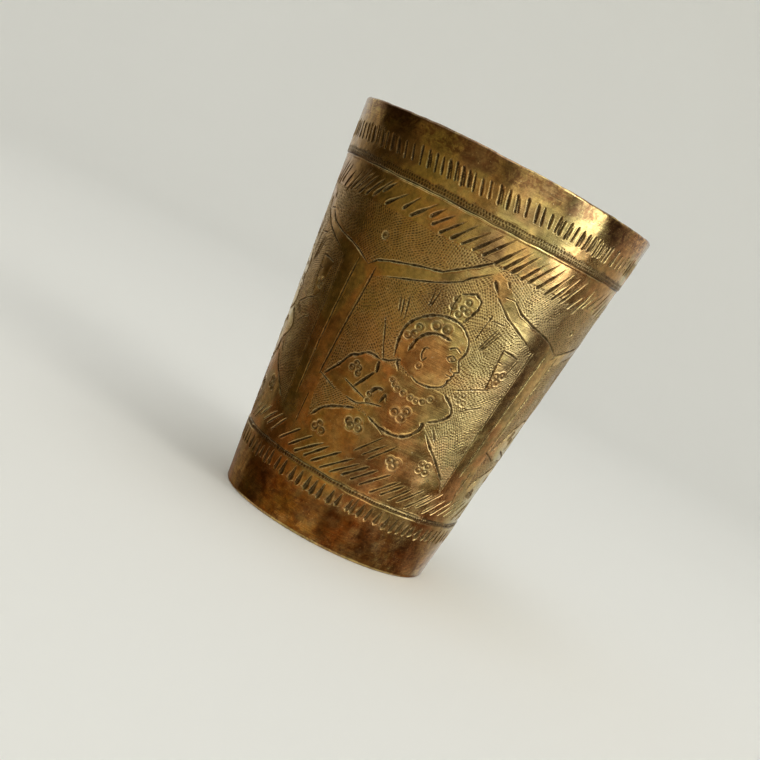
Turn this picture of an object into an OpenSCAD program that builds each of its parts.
// Hand-engraved brass beaker: a cup with a straight tapered wall, rolled from sheet and brazed,
// closed by a flat disc that is let into the bottom and soldered.
// Millimetres. The origin is the centre of the foot, and +Z is up. The front of the cup faces -Y.

/* [Cup] */
// Height from the foot to the top of the lip
cup_h = 88; // [70:1:110]
// Outside diameter across the lip
lip_d = 70; // [62:0.5:84]
// Outside diameter of the foot
foot_d = 49; // [42:0.5:56]
// Thickness of the sheet that the wall is rolled from
sheet_t = 1; // [0.8:0.1:1.6]

/* [Swaged lines] */
// Distance from the lip down to the line under the collar
collar_drop = 12.8; // [8:0.1:18]
// Height of the line above the foot
foot_line_z = 14.2; // [8:0.1:20]
// Width of each line
line_w = 0.8; // [0.4:0.1:1.4]
// Depth of each line
line_deep = 0.25; // [0.1:0.05:0.3]
// How far the collar and the foot band stand out from the wall between them
band_step = 0.2; // [0.1:0.05:0.3]
// Small bevel on the lower outside edge
foot_bevel = 0.3; // [0.1:0.05:0.4]

/* [Base] */
// Thickness of the base disc
disc_t = 1.2; // [0.8:0.1:2]
// Height of the disc's underside above the foot ring
disc_raise = 0.8; // [0.4:0.1:2]
// Radius of the solder fillet in the inside corner
solder_r = 1.6; // [0.8:0.1:2.4]

/* [Seam] */
// Angle that the brazed seam takes up, in degrees
seam_angle = 1.2; // [0.8:0.1:2]
// Where the seam is, in degrees anticlockwise from +X, seen from above
seam_at = 147; // [0:1:359]

/* [Hidden] */

// Smoothness of round shapes
ROUND_FN = 180;
// Straight segments in the solder fillet's curve
FILLET_STEPS = 6;

// How much the radius grows for each millimetre of height, and the same as an angle
wall_slope = (lip_d - foot_d) / 2 / cup_h;
wall_lean = atan(wall_slope);

collar_z = cup_h - collar_drop;
disc_top_z = disc_raise + disc_t;

// Radius of the outer surface of the lip band, collar and foot band at height z
function outer_r(z) = foot_d / 2 + wall_slope * z;

// Radius of the inner surface at height z
function inner_r(z) = outer_r(z) - sheet_t;

// The outline of the rolled wall: radius and height, up the outside and down the inside
module wall_profile() {
    lip_z = cup_h - sheet_t / 2;
    polygon([
        [inner_r(0), 0],
        [outer_r(0) - foot_bevel, 0],
        [outer_r(foot_bevel), foot_bevel],
        [outer_r(foot_line_z - line_w / 2), foot_line_z - line_w / 2],
        [outer_r(foot_line_z) - line_deep, foot_line_z],
        [outer_r(foot_line_z + line_w / 2) - band_step, foot_line_z + line_w / 2],
        [outer_r(collar_z - line_w / 2) - band_step, collar_z - line_w / 2],
        [outer_r(collar_z) - band_step - line_deep, collar_z],
        [outer_r(collar_z + line_w / 2), collar_z + line_w / 2],
        [outer_r(lip_z), lip_z],
        [inner_r(lip_z), lip_z],
    ]);
    translate([outer_r(lip_z) - sheet_t / 2, lip_z])
        circle(d = sheet_t, $fn = 48);
}

// The part of a full turn of the wall's outline that starts at angle start and spans angle
module wall_turn(start, angle) {
    rotate([0, 0, start])
        rotate_extrude(angle = angle, $fn = ROUND_FN)
            wall_profile();
}

// Rolled sheet wall, open by the width of the seam
module wall() {
    color("#a9823c")
        wall_turn(seam_at + seam_angle / 2, 360 - seam_angle);
}

// Brazing metal that fills the gap in the rolled wall
module seam_braze() {
    color("#c79a58")
        wall_turn(seam_at - seam_angle / 2, seam_angle);
}

// Flat disc let into the bottom, with an edge that follows the wall's taper
module base_disc() {
    color("#9c7636")
        rotate_extrude($fn = ROUND_FN)
            polygon([
                [0, disc_raise],
                [inner_r(disc_raise), disc_raise],
                [inner_r(disc_top_z), disc_top_z],
                [0, disc_top_z],
            ]);
}

// Ring of solder in the inside corner, with a hollow face that is tangent to the disc and the wall
module base_solder() {
    centre_r = inner_r(disc_top_z + solder_r) - solder_r / cos(wall_lean);
    hollow_face = [
        for (step = [0:FILLET_STEPS])
            let (a = -90 + (90 - wall_lean) * step / FILLET_STEPS)
                [centre_r + solder_r * cos(a), disc_top_z + solder_r * (1 + sin(a))]
    ];
    color("#8d8a82")
        rotate_extrude($fn = ROUND_FN)
            polygon(concat([[inner_r(disc_top_z), disc_top_z]], [
                for (step = [FILLET_STEPS:-1:0]) hollow_face[step]
            ]));
}

wall();
seam_braze();
base_disc();
base_solder();
